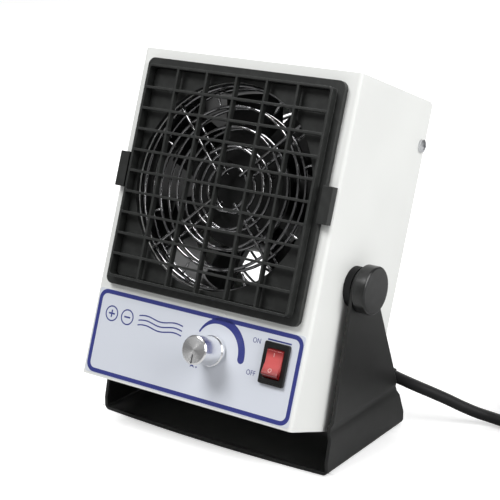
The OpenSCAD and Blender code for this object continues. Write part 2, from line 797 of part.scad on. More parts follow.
module board_standoffs() {
    color([0.75, 0.76, 0.78]) in_head() for (x = board_holes[0], z = board_holes[1])
        rod(x, z, sheet_t, board_y - sheet_t, 5);
}

// Potted transformer block that feeds the needles, recessed in its open top
module high_voltage_module() {
    rim = 2;
    color([0.16, 0.16, 0.17]) in_head() translate([module_x, blocks_y - module_size[1], sheet_t]) difference() {
        cube(module_size);
        translate([rim, rim, module_size[2] - 1.5]) cube(module_size - [2*rim, 2*rim, 0]);
    }
}

module terminal_block() {
    ways = 4;
    color([0.85, 0.85, 0.8]) in_head() translate([terminal_x, blocks_y - terminal_size[1], sheet_t]) difference() {
        cube(terminal_size);
        for (i = [0:ways - 1]) translate([(i + 0.5)*terminal_size[0]/ways, terminal_size[1]/2, 4])
            cylinder(h = terminal_size[2], d = 4);
    }
}

// ---------- clamp ----------

module at_pivot() {
    translate([0, pivot_back, pivot_up]) rotate([0, 90, 0]) children();
}

module pivot_nuts() {
    color([0.7, 0.71, 0.73]) in_head() both_sides() at_pivot()
        translate([0, 0, side_in - nut_t/2]) hex_nut(nut_af, nut_t, stud_bore);
}

module side_washers() {
    color([0.1, 0.1, 0.1]) in_head() both_sides() at_pivot() translate([0, 0, body_w/2]) difference() {
        cylinder(h = washer_t, d = washer_d);
        translate([0, 0, -1]) cylinder(h = washer_t + 2, d = stud_bore);
    }
}

module clamp_stud() {
    at_pivot() translate([0, 0, stud_end]) cylinder(h = clamp_out - 3 - stud_end, d = stud_d);
}

module clamp_knob() {
    at_pivot() translate([0, 0, arm_out + face_gap]) difference() {
        rotate_extrude($fn = 72) polygon([[0, 0], [clamp_d/2 - 0.6, 0], [clamp_d/2, 0.6], [clamp_d/2, clamp_t - 0.8],
                                          [clamp_d/2 - 0.8, clamp_t], [0, clamp_t]]);
        translate([0, 0, -1]) cylinder(h = clamp_t - 2, d = stud_d);
    }
}

module clamp_stud_right() {
    color([0.7, 0.71, 0.73]) in_head() clamp_stud();
}

module clamp_knob_right() {
    color([0.12, 0.12, 0.12]) in_head() clamp_knob();
}

module clamp_stud_left() {
    color([0.7, 0.71, 0.73]) in_head() mirror([1, 0, 0]) clamp_stud();
}

module clamp_knob_left() {
    color([0.12, 0.12, 0.12]) in_head() mirror([1, 0, 0]) clamp_knob();
}

// ---------- mains lead ----------

// Boot with its collar through the back panel, curved towards the arm
module cord_boot() {
    color([0.07, 0.07, 0.07]) {
        in_head() {
            rod(exit_x, exit_z, back_in - 4, 6, boot_d);
            rod(exit_x, exit_z, body_d, 2, boot_flange_d);
            rod(exit_x, exit_z, back_in - 4, 4, boot_flange_d - 2);
        }
        difference() {
            swept_tube(boot_route, boot_d/2 - 0.4, cord_d/2 + 0.6);
            translate([cord_cut_x, 0, 0]) cube(100);
        }
    }
}

module mains_cord() {
    color([0.06, 0.06, 0.06]) {
        difference() {
            swept_tube(cord_route, cord_d/2, cord_d/2);
            translate([cord_cut_x - 100, 0, 0]) cube(100);
        }
        swept_tube(plug_route, cord_d/2, cord_d/2);
    }
}

module cord_coil() {
    color([0.06, 0.06, 0.06]) translate(coil_at) rotate_extrude($fn = 72)
        translate([(coil_in + coil_out)/2, coil_h/2]) round_rect(coil_out - coil_in, coil_h, cord_d/2);
}

// Moulded three-pin plug that lies on the coil, its pins to the back
module plug_body() {
    color([0.07, 0.07, 0.07]) translate(plug_at) rotate([-90, 0, 0]) {
        difference() {
            linear_extrude(14) round_rect(12, 12, 3);
            translate([0, 0, -1]) cylinder(h = 5, d = cord_d);
        }
        translate([0, 0, 13.9]) linear_extrude(plug_size[1] - 14) round_rect(plug_size[0], plug_size[2], 6);
    }
}

module plug_pins() {
    color([0.75, 0.76, 0.78]) translate(plug_at + [0, plug_size[1], 0]) {
        for (x = [-6.35, 6.35]) translate([x - 0.75, -0.05, -0.1]) cube([1.5, 17.9, 6.35]);
        translate([0, -0.05, -6.5]) rotate([-90, 0, 0]) cylinder(h = 19, d = 4.8);
    }
}

stand_bracket();
front_housing();
rear_housing();
cover_screws();
panel_label();
guard_base();
front_wire_guard();
emitter_ring();
emitter_needles();
inner_wire_guard();
fan_frame();
fan_motor();
fan_bearings();
fan_shaft();
fan_impeller();
fan_screws();
fan_spacers();
rear_wire_guard();
rear_guard_screws();
rear_guard_nuts();
grille_cover();
speed_pot();
pot_nut();
pot_shaft();
speed_knob();
switch_housing();
switch_rocker();
speed_board();
high_voltage_module();
board_standoffs();
terminal_block();
pivot_nuts();
side_washers();
clamp_stud_left();
clamp_knob_left();
clamp_stud_right();
clamp_knob_right();
cord_boot();
mains_cord();
cord_coil();
plug_body();
plug_pins();
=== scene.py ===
import json
from math import acos, cos, pi, radians, sin, tan

import bmesh
import bpy
from mathutils import Matrix, Vector


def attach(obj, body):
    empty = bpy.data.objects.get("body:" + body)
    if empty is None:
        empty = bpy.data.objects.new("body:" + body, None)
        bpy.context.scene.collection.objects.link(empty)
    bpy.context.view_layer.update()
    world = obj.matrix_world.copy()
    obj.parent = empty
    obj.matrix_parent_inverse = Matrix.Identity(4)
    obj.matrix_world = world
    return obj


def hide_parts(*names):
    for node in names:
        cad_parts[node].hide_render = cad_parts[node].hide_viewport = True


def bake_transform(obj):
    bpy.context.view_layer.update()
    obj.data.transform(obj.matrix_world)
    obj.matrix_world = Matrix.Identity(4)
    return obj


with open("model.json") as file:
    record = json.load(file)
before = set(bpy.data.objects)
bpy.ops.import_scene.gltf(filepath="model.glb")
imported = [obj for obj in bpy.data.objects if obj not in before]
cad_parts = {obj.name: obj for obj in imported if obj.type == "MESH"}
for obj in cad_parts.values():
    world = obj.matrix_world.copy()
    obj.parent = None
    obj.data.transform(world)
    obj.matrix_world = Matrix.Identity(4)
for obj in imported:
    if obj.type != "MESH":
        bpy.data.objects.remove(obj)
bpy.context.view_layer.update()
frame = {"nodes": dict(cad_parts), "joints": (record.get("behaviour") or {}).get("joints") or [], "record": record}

MM = 0.001


# ---------- places ----------

def joint(name):
    return next(j for j in frame["joints"] if j["name"] == name)


PIVOT = Vector(joint("head_tilt")["pos_m"])
FAN_AXIS = Vector(joint("fan_spin")["axis"])
LEAN = acos(FAN_AXIS.y)
PIVOT_IN_HEAD = Vector((0, 34, 78))*MM

# Takes a point of the upright head, from its front face and its bottom, to its place on the leaning head
HEAD = Matrix.Translation(PIVOT) @ Matrix.Rotation(-LEAN, 4, "X") @ Matrix.Translation(-PIVOT_IN_HEAD)

LABEL_FACE = -0.3
INK = 0.04
ROCKER_INK = 0.05
INDEX_INK = 0.08
DIAL = (14, 30)
SWITCH = (53.2, 31.6)
ROCKER_TIP = radians(10)
ROCKER_FACE = 3.2


def in_head(x, y, z):
    return HEAD @ (Vector((x, y, z))*MM)


# ---------- camera ----------

def make_camera():
    data = bpy.data.cameras.new("camera")
    data.lens = 100.4
    data.sensor_width = 36
    data.clip_start = 0.05
    camera = bpy.data.objects.new("camera", data)
    camera.location = (0.4216, -0.598, 0.3342)
    camera.rotation_euler = Vector((-0.546, 0.7815, -0.3022)).to_track_quat("-Z", "Y").to_euler()
    bpy.context.scene.collection.objects.link(camera)
    bpy.context.scene.camera = camera


# ---------- making pieces ----------

def smooth_by_angle(mesh, angle):
    mesh.polygons.foreach_set("use_smooth", [True]*len(mesh.polygons))
    mesh.set_sharp_from_angle(angle=radians(angle))


def piece(name, bm, finish, body, angle=35):
    """Turns a finished bmesh into an object that rides on a body."""
    bmesh.ops.remove_doubles(bm, verts=bm.verts, dist=1e-6)
    bmesh.ops.recalc_face_normals(bm, faces=bm.faces)
    mesh = bpy.data.meshes.new(name)
    bm.to_mesh(mesh)
    bm.free()
    smooth_by_angle(mesh, angle)
    mesh.materials.append(finish)
    made = bpy.data.objects.new(name, mesh)
    bpy.context.scene.collection.objects.link(made)
    if body:
        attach(made, body)
    return made


def swept(route, radii, sides=16):
    """Closed tube along the points of a route, with one radius for each point."""
    bm = bmesh.new()
    last = len(route) - 1
    edges = ring = None
    for i, (point, radius) in enumerate(zip(route, radii)):
        ahead = (route[min(i + 1, last)] - route[max(i - 1, 0)]).normalized()
        side = ahead.cross(Vector((0, 0, 1))).normalized()
        turn = Matrix((side, side.cross(ahead), ahead)).transposed().to_4x4()
        place = Matrix.Translation(point) @ turn @ Matrix.Diagonal((radius, radius, 1, 1))
        if i == 0:
            made = bmesh.ops.create_circle(bm, segments=sides, radius=1, cap_ends=True)
            ring = made["verts"]
            edges = list({e for v in ring for e in v.link_edges})
        else:
            made = bmesh.ops.extrude_edge_only(bm, edges=edges)["geom"]
            ring = vertices(made)
            edges = [g for g in made if isinstance(g, bmesh.types.BMEdge) and all(v in ring for v in g.verts)]
            bmesh.ops.transform(bm, matrix=before.inverted(), verts=ring)
        bmesh.ops.transform(bm, matrix=place, verts=ring)
        before = place
    bmesh.ops.contextual_create(bm, geom=edges)
    return bm


def smooth_route(points, steps):
    """Catmull-Rom curve through the points."""
    closed = [2*points[0] - points[1]] + points + [2*points[-1] - points[-2]]
    route = []
    for i in range(1, len(closed) - 2):
        a, b, c, d = closed[i - 1:i + 3]
        for k in range(steps):
            t = k/steps
            route.append(0.5*(2*b + (c - a)*t + (2*a - 5*b + 4*c - d)*t**2 + (3*b - a - 3*c + d)*t**3))
    return route + [points[-1]]


# ---------- finishes ----------

class Value:
    """A number that varies over a surface: arithmetic on it adds Math nodes."""

    def __init__(self, finish, socket):
        self.finish = finish
        self.socket = socket

    def math(self, operation, *terms):
        made = self.finish.node("ShaderNodeMath", {"operation": operation}, dict(enumerate(terms)))
        return Value(self.finish, made)

    def __add__(self, other):
        return self.math("ADD", self, other)

    def __radd__(self, other):
        return self.math("ADD", other, self)

    def __sub__(self, other):
        return self.math("SUBTRACT", self, other)

    def __rsub__(self, other):
        return self.math("SUBTRACT", other, self)

    def __mul__(self, other):
        return self.math("MULTIPLY", self, other)

    def __rmul__(self, other):
        return self.math("MULTIPLY", other, self)

    def __truediv__(self, other):
        return self.math("DIVIDE", self, other)

    def sine(self):
        return self.math("SINE", self)

    def root(self):
        return self.math("SQRT", self)

    def ramp(self, low, high):
        """0 up to low, 1 from high on, and a smooth step between them."""
        made = self.finish.node("ShaderNodeMapRange", {"interpolation_type": "SMOOTHSTEP"},
                                {"Value": self, "From Min": low, "From Max": high})
        return Value(self.finish, made)


class Finish:
    """A material under construction, with its shader and the nodes that feed it."""

    def __init__(self, name, colour, roughness, **fixed):
        self.material = bpy.data.materials.new(name)
        self.material.use_nodes = True
        self.tree = self.material.node_tree
        self.shader = self.tree.nodes["Principled BSDF"]
        self.set(**{"Base Color": (*colour, 1), "Roughness": roughness, **fixed})

    def set(self, **values):
        for name, value in values.items():
            self.feed(self.shader.inputs[name.replace("_", " ")], value)

    def feed(self, socket, value):
        if isinstance(value, Value):
            value = value.socket
        if isinstance(value, bpy.types.NodeSocket):
            self.tree.links.new(value, socket)
        else:
            socket.default_value = value

    def node(self, kind, settings, sockets, output=0):
        made = self.tree.nodes.new(kind)
        for name, value in settings.items():
            setattr(made, name, value)
        for name, value in sockets.items():
            self.feed(made.inputs[name], value)
        return made.outputs[output]

    def place(self, at=(0, 0, 0), turn=(0, 0, 0), size=(1, 1, 1)):
        """Object coordinates about a point, in axes that are turned with the head."""
        return self.node("ShaderNodeMapping", {"vector_type": "TEXTURE"}, {
            "Vector": self.node("ShaderNodeTexCoord", {}, {}, "Object"),
            "Location": at, "Rotation": turn, "Scale": size})

    def noise(self, scale, detail=3, stretch=(1, 1, 1)):
        return Value(self, self.node("ShaderNodeTexNoise", {}, {
            "Vector": self.place(size=stretch), "Scale": scale, "Detail": detail}))

    def cells(self, scale):
        made = self.node("ShaderNodeTexVoronoi", {"feature": "F1"}, {"Vector": self.place(), "Scale": scale})
        return Value(self, made)

    def axis(self, vector, name):
        return Value(self, self.node("ShaderNodeSeparateXYZ", {}, {"Vector": vector}, name))

    def bump(self, height, distance, strength=1.0):
        made = self.node("ShaderNodeBump", {}, {"Height": height, "Distance": distance, "Strength": strength})
        self.set(Normal=made)

    def colour(self, factor, a, b):
        """Base colour that goes from a to b with the factor."""
        self.set(**{"Base Color": mixed(self, factor, a, b)})


# A Mix node has sockets of one name for each kind of data, so the colour ones are picked by kind
def colour_sockets(mix):
    return [s for s in mix.inputs if s.type == "RGBA"], [s for s in mix.outputs if s.type == "RGBA"][0]


def mixed(finish, factor, a, b):
    """Colour that goes from a to b with the factor."""
    node = finish.tree.nodes.new("ShaderNodeMix")
    node.data_type = "RGBA"
    finish.feed(node.inputs[0], factor)
    (first, second), result = colour_sockets(node)
    for socket, colour in ((first, a), (second, b)):
        finish.feed(socket, colour if isinstance(colour, bpy.types.NodeSocket) else (*colour, 1))
    return result


HEAD_TURN = (-LEAN, 0, 0)


def powder_coat(name, colour, roughness, grain, depth):
    """Powder coat on sheet steel: orange peel, and a little unevenness in tone and gloss."""
    f = Finish(name, colour, roughness)
    cloud = f.noise(14, 2)
    darker = [c*0.955 for c in colour]
    f.colour(cloud.ramp(0.35, 0.75), colour, darker)
    f.set(Roughness=roughness + (f.noise(90, 2) - 0.5)*0.10)
    f.bump(f.noise(grain, 3), depth*MM, 0.6)
    return f.material


def moulded(name, colour, roughness, grain=2200, depth=0.02):
    """Moulded plastic with a fine eroded grain."""
    f = Finish(name, colour, roughness)
    lighter = [min(1, c*1.25 + 0.004) for c in colour]
    f.colour(f.noise(260, 3).ramp(0.4, 0.75), colour, lighter)
    f.set(Roughness=roughness + (f.noise(120, 2) - 0.5)*0.12)
    f.bump(f.noise(grain, 2), depth*MM, 0.5)
    return f.material


def label_film(name):
    f = Finish(name, (0.60, 0.635, 0.72), 0.34)
    f.colour(f.noise(9, 1).ramp(0.3, 0.7), (0.63, 0.66, 0.725), (0.66, 0.69, 0.755))
    f.set(Roughness=0.36 + (f.noise(60, 2) - 0.5)*0.08)
    f.bump(f.noise(2600, 2), 0.006*MM, 0.5)
    return f.material


def ink(name, colour):
    f = Finish(name, colour, 0.4)
    lighter = [c*1.18 + 0.004 for c in colour]
    f.colour(f.noise(1500, 3).ramp(0.35, 0.75), colour, lighter)
    return f.material


def plated(name):
    """Bright nickel on drawn wire, with faint draw marks and a few dull spots."""
    f = Finish(name, (0.36, 0.36, 0.37), 0.16, Metallic=1.0)
    f.colour(f.noise(70, 3).ramp(0.45, 0.8), (0.38, 0.38, 0.39), (0.24, 0.235, 0.23))
    f.set(Roughness=0.12 + f.noise(220, 3).ramp(0.4, 0.8)*0.10)
    f.bump(f.noise(900, 2), 0.004*MM, 0.3)
    return f.material


def steel(name, colour, roughness):
    f = Finish(name, colour, roughness, Metallic=1.0)
    f.colour(f.noise(160, 3).ramp(0.4, 0.8), colour, [c*0.8 for c in colour])
    f.set(Roughness=roughness + (f.noise(500, 3) - 0.5)*0.2)
    f.bump(f.noise(2500, 2), 0.008*MM, 0.5)
    return f.material


def rubber(name, colour=(0.008, 0.008, 0.0085)):
    f = Finish(name, colour, 0.55, **{"Specular IOR Level": 0.25})
    f.colour(f.noise(60, 3).ramp(0.4, 0.8), colour, [c*1.5 for c in colour])
    f.set(Roughness=0.5 + f.noise(150, 3)*0.14)
    f.bump(f.noise(1800, 3), 0.02*MM, 0.5)
    return f.material


def turned_aluminium(name):
    """Face turned in fine rings, so that its highlights open into fans, over a ground grip."""
    f = Finish(name, (0.93, 0.93, 0.935), 0.2, Metallic=1.0)
    at = f.place(tuple(in_head(DIAL[0], 0, DIAL[1])), HEAD_TURN)
    x, z = f.axis(at, "X"), f.axis(at, "Z")
    radius = (x*x + z*z).root()
    slope = (radius*(2*pi/(0.23*MM))).sine()*0.30 + (f.noise(900, 2) - 0.5)*0.1
    outward = f.node("ShaderNodeCombineXYZ", {}, {"X": x/radius, "Y": 0.0, "Z": z/radius})
    outward = f.node("ShaderNodeVectorRotate", {"rotation_type": "X_AXIS"},
                     {"Vector": outward, "Angle": -LEAN})
    outward = f.node("ShaderNodeVectorTransform",
                     {"vector_type": "VECTOR", "convert_from": "OBJECT", "convert_to": "WORLD"},
                     {"Vector": outward})
    tilt = f.node("ShaderNodeVectorMath", {"operation": "SCALE"}, {"Vector": outward, "Scale": slope})
    straight = f.node("ShaderNodeNewGeometry", {}, {}, "Normal")
    bent = f.node("ShaderNodeVectorMath", {"operation": "ADD"}, {0: straight, 1: tilt})
    f.set(Normal=f.node("ShaderNodeVectorMath", {"operation": "NORMALIZE"}, {0: bent}))
    f.set(Roughness=0.17 + f.noise(700, 3)*0.1)
    return f.material


def red_lens(name):
    """Translucent red rocker with its lamp on: it glows in its middle, and its colour is painted darker towards
    both ends as shade.
    """
    f = Finish(name, (0.62, 0.02, 0.02), 0.22,
               **{"Coat Weight": 0.5, "Coat Roughness": 0.12, "Emission Strength": 0.16})
    at = f.place(tuple(in_head(SWITCH[0], 0, SWITCH[1])), HEAD_TURN, (MM, MM, MM))
    height = f.axis(at, "Z")
    x = f.axis(at, "X")
    # middle is 1 in the lens's middle and falls off towards both ends: it shapes the lamp's glow, and in the base
    # colour its dark ends are painted shade.
    middle = height.ramp(-7, -1)*(1 - height.ramp(2.5, 7)*0.8)
    glow = (1 - ((x*x)*0.02)).ramp(0.2, 1)*middle
    uneven = glow + (f.noise(420, 2) - 0.5)*0.25
    f.set(**{"Emission Color": mixed(f, uneven, (0.12, 0.0, 0.0), (1.0, 0.16, 0.15))})
    # Painted shade: the base colour goes dark red towards the lens's top edge and its foot, and stays lighter red
    # in its middle.
    f.colour(middle, (0.13, 0.003, 0.004), (0.46, 0.08, 0.08))
    f.set(Roughness=0.2 + f.noise(600, 2)*0.1)
    return f.material


def copper_winding(name):
    f = Finish(name, (0.5, 0.2, 0.08), 0.35, Metallic=0.8)
    f.colour(f.noise(1200, 2, (1, 0.05, 1)).ramp(0.4, 0.7), (0.55, 0.24, 0.10), (0.28, 0.10, 0.04))
    f.bump(f.noise(1500, 1), 0.1*MM)
    return f.material


def board(name):
    f = Finish(name, (0.02, 0.13, 0.06), 0.4)
    f.colour(f.cells(300).ramp(0.05, 0.3), (0.03, 0.20, 0.09), (0.015, 0.10, 0.045))
    return f.material


def make_finishes():
    return {
        "coated_white_steel": powder_coat("white_powder_coat", (0.80, 0.81, 0.79), 0.45, 750, 0.05),
        "coated_black_steel": powder_coat("black_powder_coat", (0.008, 0.0083, 0.008), 0.42, 1500, 0.05),
        "dark_moulding": moulded("dark_moulding", (0.015, 0.0162, 0.0152), 0.42, 2200, 0.015),
        "black_moulding": moulded("black_moulding", (0.007, 0.0073, 0.0073), 0.30),
        "label_film": label_film("label_film"),
        "plated_wire": plated("plated_wire"),
        "zinc_steel": steel("zinc_steel", (0.66, 0.67, 0.69), 0.32),
        "steel_shaft": steel("ground_steel", (0.72, 0.72, 0.73), 0.22),
        "turned_aluminium": turned_aluminium("turned_aluminium"),
        "red_lens": red_lens("red_lens"),
        "black_rubber": rubber("black_rubber"),
        "copper_winding": copper_winding("copper_winding"),
        "green_board": board("green_board"),
        "pale_moulding": moulded("pale_moulding", (0.62, 0.60, 0.52), 0.45),
    }


# ---------- the model's own nodes ----------

# Width in mm of the rounding on each node's edges
EDGES = {
    "stand_bracket": 0.25, "front_housing": 0.25, "rear_housing": 0.25, "panel_label": 0,
    "guard_base": 0.2, "grille_cover": 0.22, "emitter_ring": 0.3, "fan_frame": 0.3, "fan_impeller": 0,
    "speed_knob": 0.12, "switch_housing": 0.25, "switch_rocker": 0.35,
    "clamp_knob_left": 0.25, "clamp_knob_right": 0.25, "side_washers": 0.25,
    "terminal_block": 0.4, "high_voltage_module": 0.5, "plug_body": 0.8, "plug_pins": 0.25,
}


# Faces with many holes in them, which stay in triangles
PIERCED = {"grille_cover", "fan_frame", "guard_base"}


def dress(node, finish, width):
    """Welds a node's triangles, rounds its edges and gives it its finish."""
    shown = frame["nodes"][node]
    shown.data.materials.clear()
    shown.data.materials.append(finish)
    shown.data.polygons.foreach_set("use_smooth", [True]*len(shown.data.polygons))
    shown.modifiers.new("weld", "WELD").merge_threshold = 1e-6
    if node not in PIERCED:
        flat = shown.modifiers.new("flat", "DECIMATE")
        flat.decimate_type = "DISSOLVE"
        flat.angle_limit = radians(0.5)
    if width:
        edge = shown.modifiers.new("edge", "BEVEL")
        edge.affect = "EDGES"
        edge.width = width*MM
        edge.segments = 3
        edge.profile = 0.5
        edge.limit_method = "ANGLE"
        edge.angle_limit = radians(40)
        edge.use_clamp_overlap = False
        edge.miter_outer = "MITER_SHARP"
    split = shown.modifiers.new("split", "EDGE_SPLIT")
    split.split_angle = radians(34)
    even = shown.modifiers.new("even", "WEIGHTED_NORMAL")
    even.mode = "FACE_AREA"
    even.weight = 100


# ---------- mains lead ----------

CORD = 6.5*MM
BOOT_ROUTE = [(56, 30.5, 37), (56, 34.3, 35.7), (57, 38.5, 34.1), (59.4, 42.1, 32.4), (62.8, 44.7, 30.8),
              (66.6, 46.1, 29.6), (70, 46.5, 28.7), (74, 46.8, 27.6)]
CORD_ROUTE = [(80, 48, 25.8), (86, 50.8, 23.2), (92, 55, 19.9), (98, 60, 16), (104, 65.2, 11.7),
              (111, 70.5, 7.6), (118, 74.5, 5), (126, 75.5, 3.8), (136, 72.5, 3.6), (146, 68.6, 3.8),
              (156, 64.6, 4.05), (166, 61.8, 4.05)]
TAIL_ROUTE = [(163, 62.6, 18.4), (174, 61.6, 20.4), (184, 64, 23.6), (192, 69, 27.4), (197, 76, 30.8),
              (198, 84, 31.6), (198, 87.5, 31.6)]
COIL_AT = Vector((174, 104, 4.05))*MM
RINGS = [42.7, 36.1, 29.5]
LAYER = 6.55

# Turns from the start at which the coiled lead moves on to the next ring or the next layer,
# as (turns, ring, layer): inwards on the table, outwards on the second layer, once round on the third
MOVES = [(0, 0, 0), (0.34, 1, 0), (1.34, 2, 0), (2.26, 2, 1), (3.18, 1, 1), (4.18, 0, 1), (5.10, 0, 2)]
MOVE_TURNS = 0.08
COIL_TURNS = 6 - 30/360
STEPS_A_TURN = 48


def coil_point(turns):
    """Point of the coiled lead, which starts at the front of the coil and runs anticlockwise."""
    ring, layer = MOVES[0][1:]
    for at, next_ring, next_layer in MOVES[1:]:
        part = min(max((turns - at)/MOVE_TURNS, 0), 1)
        part = part*part*(3 - 2*part)
        ring += part*(next_ring - ring)
        layer += part*(next_layer - layer)
    radius = RINGS[0] + (RINGS[1] - RINGS[0])*ring
    angle = 2*pi*turns - pi/2
    return COIL_AT + Vector((radius*cos(angle), radius*sin(angle), LAYER*layer))*MM


def make_cord(finish):
    millimetres = lambda points: [Vector(p)*MM for p in points]
    coil = [coil_point(i/STEPS_A_TURN) for i in range(int(COIL_TURNS*STEPS_A_TURN) + 1)]
    lead_in = smooth_route(millimetres(BOOT_ROUTE + CORD_ROUTE) + coil[:1], 4)
    tail = smooth_route(coil[-1:] + millimetres(TAIL_ROUTE), 4)
    route = lead_in[:-1] + coil + tail[1:]
    length = sum((b - a).length for a, b in zip(route, route[1:]))
    cord = piece("mains_lead", swept(route, [CORD/2]*len(route)), finish, None, 60)
    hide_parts("mains_cord", "cord_coil")
    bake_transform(cord)
    return cord, route, length


def make_boot(finish):
    """Flanged boot that tapers towards the lead and is cut into rings, as such boots are so that they bend."""
    route = smooth_route([Vector(p)*MM for p in BOOT_ROUTE[:7]], 8)
    thick, thin = 5.1, CORD/2/MM + 0.75
    radii = []
    for i in range(len(route)):
        part = i/(len(route) - 1)
        groove = 0.55 if 0.2 < part < 0.95 and (i % 6) in (0, 1) else 0
        radii.append((thick + (thin - thick)*part - groove)*MM)
    bm = swept(route, radii, 32)
    for depth, start, size in ((1.9, 82.5, 15), (0.5, 84.4, 12.6), (4.0, 78.5, 10.5)):
        made = bmesh.ops.create_cone(bm, cap_ends=True, segments=48, radius1=size/2*MM,
                                     radius2=(size/2 - 0.4)*MM, depth=depth*MM)
        turn = Matrix.Translation((56*MM, (start + depth/2)*MM, 34*MM)) @ Matrix.Rotation(-pi/2, 4, "X")
        bmesh.ops.transform(bm, matrix=HEAD @ turn, verts=made["verts"])
    boot = piece("lead_boot", bm, finish, "head", 40)
    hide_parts("cord_boot")
    return boot


def make_tie(finish):
    """Strap round the coil's turns, with its closed head on the outside."""
    wide, high = RINGS[0] - RINGS[2] + CORD/MM, 2*LAYER + CORD/MM
    middle = (RINGS[0] + RINGS[2])/2
    bm = bmesh.new()
    made = bmesh.ops.create_grid(bm, x_segments=1, y_segments=1, size=0.5)
    verts = made["verts"]
    bmesh.ops.transform(bm, matrix=Matrix.Diagonal((wide + 0.7, high + 0.7, 1, 1)), verts=verts)
    bmesh.ops.bevel(bm, geom=verts, affect="VERTICES", offset=3.0, segments=6, profile=0.5)
    bmesh.ops.delete(bm, geom=bm.faces[:], context="FACES_ONLY")
    loop = bm.edges[:]
    made = bmesh.ops.extrude_edge_only(bm, edges=loop)["geom"]
    bmesh.ops.translate(bm, vec=(0, 0, 4.5), verts=vertices(made))
    bmesh.ops.recalc_face_normals(bm, faces=bm.faces)
    bmesh.ops.solidify(bm, geom=bm.faces[:], thickness=-0.6)
    head = bmesh.ops.create_cube(bm, size=1)["verts"]
    beside = Matrix.Translation((wide/2 + 1.6, 1.5, 2.25)) @ Matrix.Diagonal((3.2, 5, 6, 1))
    bmesh.ops.transform(bm, matrix=beside, verts=head)
    angle = radians(120)
    place = (Matrix.Translation(COIL_AT) @ Matrix.Rotation(angle, 4, "Z")
             @ Matrix.Translation(Vector((middle, 2.25, LAYER))*MM) @ Matrix.Rotation(pi/2, 4, "X")
             @ Matrix.Diagonal((MM, MM, MM, 1)))
    bmesh.ops.transform(bm, matrix=place, verts=bm.verts)
    return piece("coil_tie", bm, finish, "stand", 30)


# ---------- print on the label ----------

def printed(bm, outline, holes=()):
    """Thin plate of ink on the label, from an outline in the label's own X and Z in mm."""
    loops = [[bm.verts.new((x, z, 0)) for x, z in loop] for loop in (outline, *holes)]
    edges = [bm.edges.new((a, b)) for loop in loops for a, b in zip(loop, loop[1:] + loop[:1])]
    bmesh.ops.triangle_fill(bm, use_beauty=True, use_dissolve=False, edges=edges)


def vertices(geometry):
    return [g for g in geometry if isinstance(g, bmesh.types.BMVert)]


def raise_print(bm, height):
    """Gives flat print its thickness."""
    walls = bmesh.ops.extrude_face_region(bm, geom=bm.faces[:])["geom"]
    bmesh.ops.translate(bm, vec=(0, 0, height), verts=vertices(walls))


def arc(at, radius, start, end, steps):
    return [(at[0] + radius*cos(radians(start + (end - start)*i/steps)),
             at[1] + radius*sin(radians(start + (end - start)*i/steps))) for i in range(steps + 1)]


def rounded(x0, x1, z0, z1, r):
    corners = (((x1 - r, z1 - r), 0), ((x0 + r, z1 - r), 90),
               ((x0 + r, z0 + r), 180), ((x1 - r, z0 + r), 270))
    return [p for at, start in corners for p in arc(at, r, start, start + 90, 8)]


def crescent():
    """Arc round the dial that starts as a point and swells towards its round end."""
    inner, outer = [], []
    for i in range(41):
        s = i/40
        angle = radians(-3 + 146*s)
        middle = 18 - 4.4*s*s
        fade = min(max((s - 0.45)/0.55, 0), 1)
        half = 2.1 - 1.6*fade*fade*(3 - 2*fade)
        for side, line in ((-1, inner), (1, outer)):
            r = middle + side*half
            line.append((DIAL[0] + r*cos(angle), DIAL[1] + r*sin(angle)))
    foot = (DIAL[0] + 18*cos(radians(-3)), DIAL[1] + 18*sin(radians(-3)))
    return arc(foot, 2, 180, 357, 10)[1:-1] + outer + inner[::-1]


def star(at, outer, inner, points):
    """Outline of a star, from one of its notches on."""
    radii = [outer if i % 2 else inner for i in range(2*points)]
    return [(at[0] + r*cos(pi*i/points), at[1] + r*sin(pi*i/points)) for i, r in enumerate(radii)]


def wave(x, z, length, height, width):
    """Ribbon along one and a half waves, as a sign for moving air."""
    line = [(x + length*i/36, z + height*sin(3*pi*i/36)) for i in range(37)]
    return [(a, b - width/2) for a, b in line] + [(a, b + width/2) for a, b in reversed(line)]


def letters(bm, words, x, z, height):
    """Word in plain capitals whose middle is at x, z."""
    curve = bpy.data.curves.new("letters", "FONT")
    curve.body = words
    curve.size = height/0.7
    curve.align_x = "CENTER"
    curve.align_y = "CENTER"
    curve.space_character = 1.05
    holder = bpy.data.objects.new("letters", curve)
    bpy.context.scene.collection.objects.link(holder)
    bpy.context.view_layer.update()
    mesh = bpy.data.meshes.new_from_object(holder.evaluated_get(bpy.context.evaluated_depsgraph_get()))
    mesh.transform(Matrix.Translation((x, z, 0)) @ Matrix.Diagonal((0.82, 1, 1, 1)))
    bm.from_mesh(mesh)
    bpy.data.objects.remove(holder)
    bpy.data.curves.remove(curve)
    bpy.data.meshes.remove(mesh)


